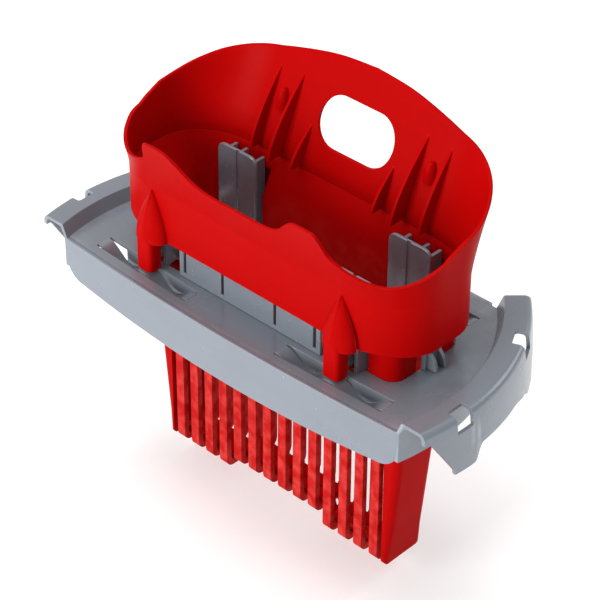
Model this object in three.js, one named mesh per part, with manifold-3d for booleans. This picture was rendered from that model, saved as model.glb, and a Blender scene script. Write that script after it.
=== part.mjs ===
// Flat-mop wringer insert for a round bucket. A silver-grey tray hangs on the bucket rim by two curved
// hooks. A red press unit, a funnel above and a slotted basket below, stands with four feet on four leaf
// springs and slides straight down between guide posts when a mop is pushed into it.
// Units are millimetres, +Z is up, +X is the user's right and -Y faces the user. The origin is the middle
// of the mop opening, on the plane of the bucket rim that the hooks rest on.
import * as THREE from 'three';
import Module from 'manifold-3d';
import { mergeVertices } from 'three/addons/utils/BufferGeometryUtils.js';
import { ParametricGeometry } from 'three/addons/geometries/ParametricGeometry.js';

const wasm = await Module();
wasm.setup();

// Driving dimensions
const WALL = 2.2; // wall thickness of both mouldings
const GAP = 0.3; // clearance between neighbouring solids
const RIM_CENTRE_Y = -26; // centre of the bucket rim circle, in front of the mop opening
const FLOOR_RADIUS = 133.3; // side edge of the tray floor, about the rim centre
const CREST_INNER = 137.2; // the hook crest covers the bucket rim between these two radii
const CREST_OUTER = 150.2;
const FLOOR_TOP = -6.2; // tray floor, below the rim plane
const FLOOR_BOTTOM = FLOOR_TOP - WALL;
const TRAY_REAR_Y = 65.5;
const TRAY_FRONT_Y = -55.4; // front corners of the tray; the front edge bows out between them
const FRONT_BOW = 4.6;
const OPENING = { x: 102.5, endY: 28.6, midX: 80.6, midY: 34.7, corner: 9 };
const FRONT_SLOT = { x0: 35.3, x1: 112, y0: -47.4, y1: -44.2, width: 11.6 };
const REAR_SLOT = { x0: 19.5, x1: 96.2, y0: 46, y1: 46, width: 11.2 };
const SKIRT_BOTTOM = FLOOR_TOP + 20.2; // lower edge of the funnel skirt
const KNEE = FLOOR_TOP + 52.6; // the funnel flares above this height
const RIM_TOP = FLOOR_TOP + 121;
const SKIRT = { x: 115.4, front: 40.3, rear: 41, cornerX: 46, cornerY: 32.5 };
const FLARE = { reach: 30, power: 1.15, front: 0.86, side: 0.22 }; // the end walls flare least
const THROAT = { x: 102, y: 28.3, corner: 9 };
const POST_X = [51.8, 82.3]; // inner and outer edge of a guide post
const POST_TOP = FLOOR_TOP + 53.2;
const POST_Y = 21.5; // face of a guide post that the mop slides along
const BASKET_TOP = FLOOR_TOP - 4;
const BASKET_BOTTOM = FLOOR_TOP - 149.8;
const BASKET_FOOT = { x: 89.5, y: 15.8 }; // half length and half depth of the basket at its bottom
const BAND_HEIGHT = 8; // the closed band around the basket's top
const RETURN_X = 86.8; // the end walls turn the corner and reach in to here
const BASKET_RAISED = 8; // the middle of the basket bottom is higher by this much
const RIB_PITCH = 12.35;
const RIB_WIDTH = 7;
const RIB_DEPTH = 4.6;
const RIB_COUNT = 14;
const BACK_WINDOW = { halfLength: 28, radius: 15, z: FLOOR_TOP + 82 };
const LEAF_WAVE = 9; // depth of the two valleys of a leaf spring
const LEAF_THICK = 1.4;

const redPlastic = new THREE.MeshStandardMaterial({ color: 0xd20a0a, roughness: 0.3, metalness: 0 });
const greyPlastic = new THREE.MeshStandardMaterial({ color: 0x8e959b, roughness: 0.35, metalness: 0.1 });

const object = new THREE.Group();

/** Adds one named piece to the object. */
function addPiece(name, geometry, material) {
  const mesh = new THREE.Mesh(geometry, material);
  mesh.name = name;
  object.add(mesh);
}

/** Turns a closed three.js geometry into a manifold solid. */
function solid(geometry) {
  const bare = geometry.clone();
  bare.deleteAttribute('normal');
  bare.deleteAttribute('uv');
  const merged = mergeVertices(bare, 1e-4);
  const vertProperties = new Float32Array(merged.attributes.position.array);
  const triVerts = new Uint32Array(merged.index.array);
  return new wasm.Manifold(new wasm.Mesh({ numProp: 3, vertProperties, triVerts }));
}

/** Turns a manifold solid back into a three.js geometry. */
function geometryOf(shape) {
  const mesh = shape.getMesh();
  const geometry = new THREE.BufferGeometry();
  geometry.setAttribute('position', new THREE.BufferAttribute(new Float32Array(mesh.vertProperties), 3));
  geometry.setIndex(new THREE.BufferAttribute(new Uint32Array(mesh.triVerts), 1));
  return geometry;
}

/** A solid box between two corners. */
function box(x0, x1, y0, y1, z0, z1) {
  const geometry = new THREE.BoxGeometry(x1 - x0, y1 - y0, z1 - z0);
  geometry.translate((x0 + x1) / 2, (y0 + y1) / 2, (z0 + z1) / 2);
  return solid(geometry);
}

/** Extrudes a drawn outline by a depth, after dropping points that repeat where its parts join. */
function extrude(shape, depth, curveSegments) {
  const tidy = (path) => path.getPoints(curveSegments).filter((point, i, all) => (
    point.distanceTo(all[(i + 1) % all.length]) > 1e-3));
  const outline = new THREE.Shape(tidy(shape));
  outline.holes = (shape.holes ?? []).map((hole) => new THREE.Path(tidy(hole)));
  return new THREE.ExtrudeGeometry(outline, { depth, bevelEnabled: false });
}

/** Extrudes an outline drawn in X and Y from z0 to z1. */
function extrudeUp(shape, z0, z1, curveSegments = 8) {
  const geometry = extrude(shape, z1 - z0, curveSegments);
  geometry.translate(0, 0, z0);
  return geometry;
}

/** Extrudes an outline drawn in Y and Z along X, from x0 to x1. */
function extrudeAcross(shape, x0, x1, curveSegments = 8) {
  const geometry = extrude(shape, x1 - x0, curveSegments);
  geometry.rotateX(Math.PI / 2);
  geometry.rotateZ(Math.PI / 2);
  geometry.translate(x0, 0, 0);
  return geometry;
}

/** Extrudes an outline drawn in X and Z along Y, from y0 to y1. */
function extrudeBack(shape, y0, y1, curveSegments = 8) {
  const geometry = extrude(shape, y1 - y0, curveSegments);
  geometry.rotateX(Math.PI / 2);
  geometry.translate(0, y1, 0);
  return geometry;
}

/** A shape through straight points. */
function polygon(points) {
  return new THREE.Shape(points.map(([x, y]) => new THREE.Vector2(x, y)));
}

/** Mirrors a solid from the right side to the left side, or from the rear to the front. */
function mirrored(shape, acrossX, acrossY) {
  let result = shape;
  if (acrossX) result = result.mirror([1, 0, 0]);
  if (acrossY) result = result.mirror([0, 1, 0]);
  return result;
}

// --- Tray ---------------------------------------------------------------------------------------------

/** The plan of the tray, drawn in from its edge by an inset. */
function trayPlan(inset) {
  const radius = FLOOR_RADIUS - inset;
  const front = TRAY_FRONT_Y + inset;
  const rear = TRAY_REAR_Y - inset;
  const cornerX = Math.sqrt(radius ** 2 - (front - RIM_CENTRE_Y) ** 2);
  const frontAngle = Math.atan2(front - RIM_CENTRE_Y, cornerX);
  const rearAngle = Math.asin((rear - RIM_CENTRE_Y) / radius);
  const plan = new THREE.Shape();
  plan.moveTo(-cornerX, front);
  plan.quadraticCurveTo(0, front - 2 * FRONT_BOW, cornerX, front);
  plan.absarc(0, RIM_CENTRE_Y, radius, frontAngle, rearAngle, false);
  plan.absarc(0, RIM_CENTRE_Y, radius, Math.PI - rearAngle, Math.PI - frontAngle, false);
  return plan;
}

/** The stepped mop opening of the tray. */
function openingPlan() {
  const { x, endY, midX, midY, corner } = OPENING;
  const plan = new THREE.Shape();
  plan.moveTo(-midX, -midY);
  plan.lineTo(midX, -midY);
  plan.lineTo(midX, -endY);
  plan.lineTo(x - corner, -endY);
  plan.absarc(x - corner, -endY + corner, corner, -Math.PI / 2, 0, false);
  plan.lineTo(x, endY - corner);
  plan.absarc(x - corner, endY - corner, corner, 0, Math.PI / 2, false);
  plan.lineTo(midX, endY);
  plan.lineTo(midX, midY);
  plan.lineTo(-midX, midY);
  plan.lineTo(-midX, endY);
  plan.lineTo(-x + corner, endY);
  plan.absarc(-x + corner, endY - corner, corner, Math.PI / 2, Math.PI, false);
  plan.lineTo(-x, -endY + corner);
  plan.absarc(-x + corner, -endY + corner, corner, Math.PI, Math.PI * 1.5, false);
  plan.lineTo(-midX, -endY);
  return plan;
}

/** One spring slot, a slightly slanted rectangle in plan. */
function slotPlan(slot, side) {
  const half = slot.width / 2;
  const points = [
    [side * slot.x0, slot.y0 - half],
    [side * slot.x1, slot.y1 - half],
    [side * slot.x1, slot.y1 + half],
    [side * slot.x0, slot.y0 + half],
  ];
  return polygon(points);
}

/** The wall that hangs under the floor along a spring slot, on the side of the mop opening. */
function slotWall(slot, side, towards) {
  const wall = 1.6;
  const depth = 18;
  const end = slot.x1 - 14;
  const endY = THREE.MathUtils.lerp(slot.y0, slot.y1, (end - slot.x0) / (slot.x1 - slot.x0));
  const edge = (slot.width / 2) * towards;
  const plan = polygon([
    [side * slot.x0, slot.y0 + edge],
    [side * end, endY + edge],
    [side * end, endY + edge + wall * towards],
    [side * slot.x0, slot.y0 + edge + wall * towards],
  ]);
  return solid(extrudeUp(plan, FLOOR_BOTTOM - depth, FLOOR_BOTTOM + WALL / 2));
}

/** The flat floor of the tray with the mop opening, the four spring slots and the slots' walls. */
function trayFloor() {
  const cutter = (shape) => solid(extrudeUp(shape, FLOOR_BOTTOM - 1, FLOOR_TOP + 1));
  let floor = solid(extrudeUp(trayPlan(GAP), FLOOR_BOTTOM, FLOOR_TOP, 24)).subtract(cutter(openingPlan()));
  for (const side of [-1, 1]) {
    floor = floor.subtract(cutter(slotPlan(FRONT_SLOT, side))).subtract(cutter(slotPlan(REAR_SLOT, side)));
    floor = floor.add(slotWall(FRONT_SLOT, side, 1)).add(slotWall(REAR_SLOT, side, -1));
  }
  return geometryOf(floor);
}

/** The bowed band in plan that an apron is cut from, one wall thick. */
function frontBand() {
  const cornerX = 137;
  const bow = 2 * FRONT_BOW;
  const band = new THREE.Shape();
  band.moveTo(-cornerX, TRAY_FRONT_Y - WALL - GAP);
  band.quadraticCurveTo(0, TRAY_FRONT_Y - WALL - GAP - bow, cornerX, TRAY_FRONT_Y - WALL - GAP);
  band.lineTo(cornerX, TRAY_FRONT_Y - GAP);
  band.quadraticCurveTo(0, TRAY_FRONT_Y - GAP - bow, -cornerX, TRAY_FRONT_Y - GAP);
  return band;
}

/** The front apron: a deep bowed skirt whose top ends rise to the hook crests. */
function frontApron() {
  const end = 134.2;
  const top = 2.2;
  const side = 131;
  const face = new THREE.Shape();
  face.moveTo(-side + 14, -32.8);
  face.quadraticCurveTo(0, -43.5, side - 14, -32.8);
  face.quadraticCurveTo(side - 1, -31, side, -20);
  face.lineTo(end, top);
  face.lineTo(130.2, FLOOR_TOP);
  face.lineTo(-130.2, FLOOR_TOP);
  face.lineTo(-end, top);
  face.lineTo(-side, -20);
  face.quadraticCurveTo(-side + 1, -31, -side + 14, -32.8);
  const wall = solid(extrudeUp(frontBand(), -60, 20, 16));
  return geometryOf(solid(extrudeBack(face, -90, -30, 8)).intersect(wall));
}

/** The rear apron: a straight, shallower skirt. */
function rearApron() {
  const halfLength = 92;
  const bottom = -28;
  const face = new THREE.Shape();
  face.moveTo(-halfLength, FLOOR_TOP);
  face.lineTo(-halfLength, bottom + 10);
  face.quadraticCurveTo(-halfLength, bottom, -halfLength + 10, bottom);
  face.lineTo(halfLength - 10, bottom);
  face.quadraticCurveTo(halfLength, bottom, halfLength, bottom + 10);
  face.lineTo(halfLength, FLOOR_TOP);
  return extrudeBack(face, TRAY_REAR_Y + GAP, TRAY_REAR_Y + GAP + WALL);
}

/** One rim hook, made on the right side: an arched section turned about the rim centre. */
function rimHook() {
  const legBottom = -26;
  const flangeBottom = -34.5;
  const crestTop = WALL;
  const profile = [
    [FLOOR_RADIUS, legBottom],
    [FLOOR_RADIUS + WALL, legBottom],
    [FLOOR_RADIUS + WALL, FLOOR_TOP - 0.6],
    [CREST_INNER + 1.4, 0],
    [CREST_OUTER - 3, 0],
    [CREST_OUTER - 0.6, -1],
    [CREST_OUTER + 1, -3.4],
    [CREST_OUTER + 2.8, flangeBottom],
    [CREST_OUTER + 5, flangeBottom],
    [CREST_OUTER + 3.2, -3],
    [CREST_OUTER + 1.4, 0.7],
    [CREST_OUTER - 2, crestTop],
    [CREST_INNER, crestTop],
    [FLOOR_RADIUS, FLOOR_TOP],
    [FLOOR_RADIUS, legBottom],
  ];
  const start = -14; // degrees from +X, about the rim centre
  const end = 43.8;
  const section = profile.map(([radius, z]) => new THREE.Vector2(radius, z));
  const turned = new THREE.LatheGeometry(section, 108);
  turned.rotateX(Math.PI / 2);
  turned.translate(0, RIM_CENTRE_Y, 0);
  const wedge = new THREE.Shape();
  const reach = 260;
  wedge.moveTo(0, 0);
  for (let angle = start; angle <= end + 1e-6; angle += (end - start) / 4) {
    const turn = THREE.MathUtils.degToRad(angle);
    wedge.lineTo(reach * Math.cos(turn), reach * Math.sin(turn));
  }
  const sector = extrudeUp(wedge, -80, 40);
  sector.translate(0, RIM_CENTRE_Y, 0);
  const hook = solid(turned).intersect(solid(sector));
  return cutFlange(hook.subtract(box(80, 200, -120, TRAY_FRONT_Y + GAP, -80, 40)));
}

/** An angular block outside the crest, for cutting the flange. Angles are about the rim centre. */
function flangeBlock(angle0, angle1, radius0, radius1, z0, z1) {
  const from = THREE.MathUtils.degToRad(angle0);
  const to = THREE.MathUtils.degToRad(angle1);
  const plan = new THREE.Shape();
  plan.absarc(0, 0, radius1, from, to, false);
  plan.absarc(0, 0, radius0, to, from, true);
  const block = extrudeUp(plan, z0, z1, 12);
  block.translate(0, RIM_CENTRE_Y, 0);
  return solid(block);
}

/** The slanted cuts before and behind the tip of a front tab, in Y and Z. */
const TAB_SLANTS = [
  [[-60, -4], [-60, -60], [-34, -60], [-34, -34.8], [-36.4, -31.6], [-53, -6]],
  [[-24, -60], [-12, -60], [-12, -24.6], [-13.6, -24.6], [-17.6, -28], [-24, -34.8]],
];

/** Shortens the flange between its two tabs and behind them, and opens the two rim windows. */
function cutFlange(ring) {
  const inner = CREST_OUTER - 6;
  const outer = CREST_OUTER + 12;
  const short = -24.6;
  let hook = ring.subtract(flangeBlock(4.6, 25, inner, outer, -60, short));
  hook = hook.subtract(flangeBlock(34.5, 46, inner, outer, -60, short));
  for (const slant of TAB_SLANTS) hook = hook.subtract(solid(extrudeAcross(polygon(slant), 140, 175)));
  for (const middle of [-0.8, 28.2]) {
    hook = hook.subtract(flangeBlock(middle - 2.4, middle + 2.4, CREST_OUTER - 5.5, outer, -8.4, 12));
  }
  return hook;
}

addPiece('tray_floor', trayFloor(), greyPlastic);
addPiece('front_apron', frontApron(), greyPlastic);
addPiece('rear_apron', rearApron(), greyPlastic);
const rightHook = rimHook();
addPiece('right_rim_hook', geometryOf(rightHook), greyPlastic);
addPiece('left_rim_hook', geometryOf(mirrored(rightHook, true, false)), greyPlastic);

/** A slotted fence that stands along one long side of the opening, with four narrow slits. */
function fence() {
  const halfLength = 55.4;
  const height = 25;
  const slit = 2;
  const innerY = OPENING.midY + GAP;
  let wall = box(-halfLength, halfLength, innerY, innerY + WALL, FLOOR_TOP + GAP, FLOOR_TOP + height);
  for (const x of [-51, -20.6, 20.6, 51]) {
    const top = FLOOR_TOP + height + 1;
    wall = wall.subtract(box(x - slit / 2, x + slit / 2, innerY - 1, innerY + 4, FLOOR_TOP + 3, top));
  }
  return wall;
}

/** One guide post: a plate across the opening with three fins that reach back to the tray edge. */
function guidePost() {
  const [x0, x1] = POST_X;
  const finY = OPENING.midY - GAP;
  const finTop = POST_TOP - 5.5;
  const round = 6;
  const groove = { x: 65.2, width: 2.4, depth: 1.1 };
  const face = new THREE.Shape();
  face.moveTo(x0, FLOOR_BOTTOM);
  face.lineTo(x1, FLOOR_BOTTOM);
  face.lineTo(x1, POST_TOP - round);
  face.quadraticCurveTo(x1, POST_TOP, x1 - round, POST_TOP);
  face.lineTo(x0 + round, POST_TOP);
  face.quadraticCurveTo(x0, POST_TOP, x0, POST_TOP - round);
  let post = solid(extrudeBack(face, POST_Y, POST_Y + WALL));
  for (const x of [56, 69.5, OPENING.midX - GAP - WALL]) {
    post = post.add(box(x, x + WALL, POST_Y + 1, finY, FLOOR_BOTTOM, finTop));
  }
  const cut = [groove.x, groove.x + groove.width, POST_Y - 1, POST_Y + groove.depth];
  return post.subtract(box(...cut, FLOOR_BOTTOM - 1, POST_TOP + 1));
}

/** One end guide: a tab at the end of the opening with two rounded gussets. */
function endGuide() {
  const x = OPENING.x + GAP;
  const height = 15;
  let guide = box(x, x + 3, -7.2, 7.2, FLOOR_TOP + GAP, FLOOR_TOP + height);
  const gusset = new THREE.Shape();
  gusset.moveTo(x + 2, FLOOR_TOP + GAP);
  gusset.lineTo(x + 9, FLOOR_TOP + GAP);
  gusset.quadraticCurveTo(x + 9.4, FLOOR_TOP + 8, x + 2, FLOOR_TOP + 12);
  for (const y of [-4.6, 2.4]) {
    guide = guide.add(solid(extrudeBack(gusset, y, y + 2.2)));
  }
  return guide;
}

for (const [place, rear] of [['front', false], ['rear', true]]) {
  addPiece(`${place}_fence`, geometryOf(mirrored(fence(), false, !rear)), greyPlastic);
  for (const [side, left] of [['left', true], ['right', false]]) {
    addPiece(`${place}_${side}_guide_post`, geometryOf(mirrored(guidePost(), left, !rear)), greyPlastic);
  }
}
addPiece('right_end_guide', geometryOf(endGuide()), greyPlastic);
addPiece('left_end_guide', geometryOf(mirrored(endGuide(), true, false)), greyPlastic);

/** A waved leaf spring on the right side, flat ends level with the floor and its middle under a foot. */
function leafSpring(slot) {
  const end = 1;
  const x0 = slot.x0 + end;
  const x1 = slot.x1 - end;
  const steps = 24;
  const half = slot.width / 2 - 1.2;
  const wave = (t) => FLOOR_TOP - LEAF_THICK - LEAF_WAVE * (1 - Math.cos(4 * Math.PI * t)) / 2;
  const upper = [];
  const lower = [];
  for (let i = 0; i <= steps; i += 1) {
    const x = THREE.MathUtils.lerp(x0, x1, i / steps);
    upper.push([x, wave(i / steps) + LEAF_THICK]);
    lower.push([x, wave(i / steps)]);
  }
  const leaf = extrudeBack(polygon([...lower, ...upper.reverse()]), -half, half);
  const slope = (slot.y1 - slot.y0) / (slot.x1 - slot.x0);
  leaf.applyMatrix4(new THREE.Matrix4().set(
    1, 0, 0, 0,
    slope, 1, 0, slot.y0 - slope * slot.x0,
    0, 0, 1, 0,
    0, 0, 0, 1,
  ));
  return solid(leaf);
}

for (const [place, slot] of [['front', FRONT_SLOT], ['rear', REAR_SLOT]]) {
  addPiece(`${place}_right_leaf_spring`, geometryOf(leafSpring(slot)), greyPlastic);
  addPiece(`${place}_left_leaf_spring`, geometryOf(mirrored(leafSpring(slot), true, false)), greyPlastic);
}

// --- Press unit ---------------------------------------------------------------------------------------

/** Height of the funnel rim above the floor, against the place s around one half of the funnel:
 *  0 to 1 front wall, 1 to 2 front corner, 2 to 3 end, 3 to 4 rear corner, 4 to 5 rear wall. */
const RIM_LINE = new THREE.SplineCurve([
  [0, 75.2], [0.18, 75], [0.3, 75.4], [0.4, 77], [0.49, 80.8], [0.57, 86.3], [0.65, 91.6], [0.72, 94],
  [0.85, 94.3], [0.93, 93.4], [0.97, 88], [1.01, 80], [1.08, 75.5], [1.17, 72], [1.29, 69],
  [1.42, 67.6], [1.55, 68.6], [1.72, 71.8], [1.9, 75.8], [2.22, 79.3], [2.68, 82.6], [3, 84.8],
  [3.22, 87.5], [3.46, 92.8], [3.64, 97.6], [3.85, 102.6], [4.07, 107], [4.37, 111.8], [4.65, 115],
  [5, 116.6],
].map(([s, h]) => new THREE.Vector2(s, h)));

/** A point of the rounded plan of the funnel at place s, grown outwards by a flare. */
function funnelPlan(s, flare, inset) {
  const { x, front, rear, cornerX, cornerY } = SKIRT;
  const straight = x - cornerX;
  const part = Math.floor(Math.min(s, 4.999));
  const t = s - part;
  const turn = (t * Math.PI) / 2;
  const blend = THREE.MathUtils.smoothstep(t, 0, 1);
  const rx = cornerX - inset;
  const ry = cornerY - inset;
  if (part === 0) return [t * straight, -(front - inset) - flare * FLARE.front];
  if (part === 1) {
    const grow = flare * THREE.MathUtils.lerp(FLARE.front, FLARE.side, blend);
    return [straight + (rx + grow) * Math.sin(turn), -(front - cornerY) - (ry + grow) * Math.cos(turn)];
  }
  if (part === 2) {
    const y = THREE.MathUtils.lerp(-(front - cornerY), rear - cornerY, t);
    return [x - inset + flare * FLARE.side, y];
  }
  if (part === 3) {
    const grow = flare * THREE.MathUtils.lerp(FLARE.side, 1, blend);
    return [straight + (rx + grow) * Math.cos(turn), rear - cornerY + (ry + grow) * Math.sin(turn)];
  }
  return [(1 - t) * straight, rear - inset + flare];
}

/** Outward flare of the funnel's rear wall at a height. */
function flareAt(z) {
  const rise = Math.max(0, (z - KNEE) / (RIM_TOP - KNEE));
  return FLARE.reach * rise ** FLARE.power;
}

/** The funnel: a closed shell whose section runs up the outside and down the inside. */
function funnelShell() {
  const columns = 128;
  const flareSteps = 4;
  const section = [[0, 0, 0]];
  for (let i = 0; i <= flareSteps; i += 1) section.push([0, 1, i / flareSteps]);
  for (let i = flareSteps; i >= 0; i -= 1) section.push([WALL, 1, i / flareSteps]);
  section.push([WALL, 0, 0]);
  section.push(section[0]);
  const stacks = section.length - 1;
  const place = (u, v, target) => {
    const half = u < 0.5 ? 1 - 2 * u : 2 * u - 1;
    const rim = RIM_LINE.getPoint(half);
    const [inset, above, rise] = section[Math.round(v * stacks)];
    const z = above ? THREE.MathUtils.lerp(KNEE, FLOOR_TOP + rim.y, rise) : SKIRT_BOTTOM;
    const [x, y] = funnelPlan(THREE.MathUtils.clamp(rim.x, 0, 5), flareAt(z), inset);
    target.set(u < 0.5 ? -x : x, y, z);
  };
  return solid(new ParametricGeometry(place, columns, stacks));
}

/** The plain rounded slot through the rear wall, as a solid. */
function backWindow() {
  const { halfLength, radius, z } = BACK_WINDOW;
  const slot = new THREE.Shape();
  slot.absarc(halfLength - radius, z, radius, -Math.PI / 2, Math.PI / 2, false);
  slot.absarc(radius - halfLength, z, radius, Math.PI / 2, Math.PI * 1.5, false);
  return solid(extrudeBack(slot, 30, 110, 16));
}

addPiece('funnel', geometryOf(funnelShell().subtract(backWindow())), redPlastic);

/** The rear wall's inner face, in Y, at a height. */
function rearWallInner(z) {
  return SKIRT.rear - WALL + flareAt(z);
}

/** The front wall's inner face at a height, as a distance from the middle. */
function frontWallInner(z) {
  return SKIRT.front - WALL + flareAt(z) * FLARE.front;
}

/** A guide rib: a fin from an apex on the wall down into the throat, made for the rear wall. */
function wallRib(x, apexHeight, freeY, wallInner) {
  const apex = FLOOR_TOP + apexHeight;
  const bottom = KNEE - 1;
  const steps = 8;
  const points = [];
  for (let i = 0; i <= steps; i += 1) {
    const z = THREE.MathUtils.lerp(bottom, apex, i / steps);
    points.push([wallInner(z) - GAP, z]);
  }
  for (let i = steps - 1; i >= 0; i -= 1) {
    const t = i / steps;
    const z = THREE.MathUtils.lerp(bottom, apex, t);
    points.push([THREE.MathUtils.lerp(freeY, wallInner(apex) - GAP, t ** 1.5), z]);
  }
  return solid(extrudeAcross(polygon(points), x - 1, x + 1));
}

/** A retaining lug on the rear wall: a half bullet with a flat underside. */
function retainingLug() {
  const bottom = FLOOR_TOP + 75;
  const profile = [[0, 0], [4.4, 0], [4, 5], [2.6, 9.6], [0, 12.8]];
  const bullet = new THREE.LatheGeometry(profile.map(([r, z]) => new THREE.Vector2(r, z)), 16);
  bullet.rotateX(Math.PI / 2);
  bullet.translate(56.4, rearWallInner(bottom + 6), bottom);
  const room = polygon([
    [20, bottom - 5],
    [rearWallInner(bottom - 5) - GAP, bottom - 5],
    [rearWallInner(bottom + 4) - GAP, bottom + 4],
    [rearWallInner(bottom + 14) - GAP, bottom + 14],
    [20, bottom + 14],
  ]);
  return solid(bullet).intersect(solid(extrudeAcross(room, 48, 65)));
}

const REAR_RIBS = [[65, 97, 31], [47.4, 98, 27], [31.6, 75, 29]]; // x, apex height, free edge Y
const FRONT_RIBS = [[65, 84, 31], [47.4, 80, 27]];
for (const [side, left] of [['left', true], ['right', false]]) {
  REAR_RIBS.forEach(([x, apex, freeY], i) => {
    const rib = wallRib(x, apex, freeY, rearWallInner);
    addPiece(`rear_${side}_wall_rib_${i + 1}`, geometryOf(mirrored(rib, left, false)), redPlastic);
  });
  FRONT_RIBS.forEach(([x, apex, freeY], i) => {
    const rib = wallRib(x, apex, freeY, frontWallInner);
    addPiece(`front_${side}_wall_rib_${i + 1}`, geometryOf(mirrored(rib, left, true)), redPlastic);
  });
  addPiece(`${side}_retaining_lug`, geometryOf(mirrored(retainingLug(), left, false)), redPlastic);
}

/** A point of the throat collar's plan, blended from the skirt plan to the throat plan. */
function collarPlan(s, inward, inset) {
  const outer = funnelPlan(s, 0, WALL + GAP + inset);
  const part = Math.floor(Math.min(s, 4.999));
  const t = s - part;
  const turn = (t * Math.PI) / 2;
  const x = THROAT.x - inset;
  const y = THROAT.y - inset;
  const corner = THROAT.corner;
  const inner = [
    [t * (x - corner), -y],
    [x - corner + corner * Math.sin(turn), -y + corner - corner * Math.cos(turn)],
    [x, THREE.MathUtils.lerp(-y + corner, y - corner, t)],
    [x - corner + corner * Math.cos(turn), y - corner + corner * Math.sin(turn)],
    [(1 - t) * (x - corner), y],
  ][part];
  return [THREE.MathUtils.lerp(outer[0], inner[0], inward), THREE.MathUtils.lerp(outer[1], inner[1], inward)];
}

/** The throat collar: a sloping shelf inside the skirt and the straight throat below it. */
function throatCollar() {
  const columns = 80;
  const shelf = KNEE - 3;
  const neck = KNEE - 27;
  const section = [
    [0, 0, shelf - WALL], [0, 0, shelf], [1, WALL, neck + 1], [1, WALL, BASKET_TOP + GAP],
    [1, 0, BASKET_TOP + GAP], [1, 0, neck - WALL], [0, 0, shelf - WALL],
  ];
  const stacks = section.length - 1;
  const place = (u, v, target) => {
    const half = (u < 0.5 ? 1 - 2 * u : 2 * u - 1) * 5;
    const [inward, inset, z] = section[Math.round(v * stacks)];
    const [x, y] = collarPlan(half, inward, inset);
    target.set(u < 0.5 ? -x : x, y, z);
  };
  let collar = solid(new ParametricGeometry(place, columns, stacks));
  const margin = 1;
  for (const side of [-1, 1]) {
    for (const end of [-1, 1]) {
      const xs = [side * (POST_X[0] - margin), side * (POST_X[1] + margin)].sort((a, b) => a - b);
      const ys = [end * (POST_Y - margin), end * 35.2].sort((a, b) => a - b);
      collar = collar.subtract(box(xs[0], xs[1], ys[0], ys[1], BASKET_TOP - 5, KNEE + 5));
    }
    const xs = [side * (THROAT.x - 8), side * (THROAT.x + 12)].sort((a, b) => a - b);
    collar = collar.subtract(box(xs[0], xs[1], -9.6, 9.6, BASKET_TOP - 5, KNEE - 21));
  }
  return collar;
}

addPiece('throat_collar', geometryOf(throatCollar()), redPlastic);

/** A foot on the front right: a leg through the slot, under a pointed half spindle on the skirt. */
function foot(x, wallY) {
  const legHalf = 5.6;
  const reach = 9;
  const apex = 32.5; // height of the spindle above the skirt edge
  const leg = new THREE.Shape();
  leg.moveTo(-legHalf, 0);
  leg.lineTo(-legHalf, -reach + 3);
  leg.quadraticCurveTo(-legHalf, -reach, 0, -reach);
  leg.quadraticCurveTo(legHalf, -reach, legHalf, -reach + 3);
  leg.lineTo(legHalf, 0);
  const legSolid = solid(extrudeUp(leg, FLOOR_TOP + GAP, SKIRT_BOTTOM + 4, 6));
  const steps = 7;
  const ogive = [new THREE.Vector2(0, 0)];
  for (let i = 0; i <= steps; i += 1) {
    const t = i / steps;
    ogive.push(new THREE.Vector2(i === steps ? 0 : 13 * (1 - t ** 1.7), apex * t));
  }
  const spindle = new THREE.LatheGeometry(ogive, 20);
  spindle.rotateX(Math.PI / 2);
  spindle.scale(0.9, (reach + 0.2) / 13, 1);
  spindle.translate(0, 0, SKIRT_BOTTOM);
  const half = solid(spindle).intersect(box(-30, 30, -30, 0, 0, 90));
  return legSolid.add(half).translate([x, -wallY - GAP, 0]);
}

const FEET = [['front', 73.3, SKIRT.front, false], ['rear', 57.8, SKIRT.rear, true]];
for (const [place, x, wallY, rear] of FEET) {
  for (const [side, left] of [['left', true], ['right', false]]) {
    addPiece(`${place}_${side}_foot`, geometryOf(mirrored(foot(x, wallY), left, rear)), redPlastic);
  }
}

/** How far down the ribbed part of the basket a height is, from 0 to 1. */
function basketLevel(z) {
  const top = BASKET_TOP - BAND_HEIGHT;
  return THREE.MathUtils.clamp((top - z) / (top - BASKET_BOTTOM), 0, 1);
}

/** Half depth in Y of the basket at a height: it narrows quickly under the band, then slowly. */
function basketHalfDepth(z) {
  return THREE.MathUtils.lerp(BASKET_FOOT.y, THROAT.y - 0.4, (1 - basketLevel(z)) ** 6);
}

/** Half length in X of the basket at a height. */
function basketHalfLength(z) {
  return THREE.MathUtils.lerp(THROAT.x - 1.4, BASKET_FOOT.x, basketLevel(z) ** 1.5);
}

/** A closed band around the top of the basket that its ribs hang from. */
function basketBand() {
  const outer = new THREE.Shape();
  const hole = new THREE.Path();
  for (const [path, inset] of [[outer, 0], [hole, RIB_DEPTH]]) {
    const x = THROAT.x - inset;
    const y = THROAT.y - inset;
    const r = THROAT.corner - inset / 2;
    path.moveTo(-x + r, -y);
    path.lineTo(x - r, -y);
    path.absarc(x - r, -y + r, r, -Math.PI / 2, 0, false);
    path.lineTo(x, y - r);
    path.absarc(x - r, y - r, r, 0, Math.PI / 2, false);
    path.lineTo(-x + r, y);
    path.absarc(-x + r, y - r, r, Math.PI / 2, Math.PI, false);
    path.lineTo(-x, -y + r);
    path.absarc(-x + r, -y + r, r, Math.PI, Math.PI * 1.5, false);
  }
  outer.holes.push(hole);
  return extrudeUp(outer, BASKET_TOP - BAND_HEIGHT, BASKET_TOP, 6);
}

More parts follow.
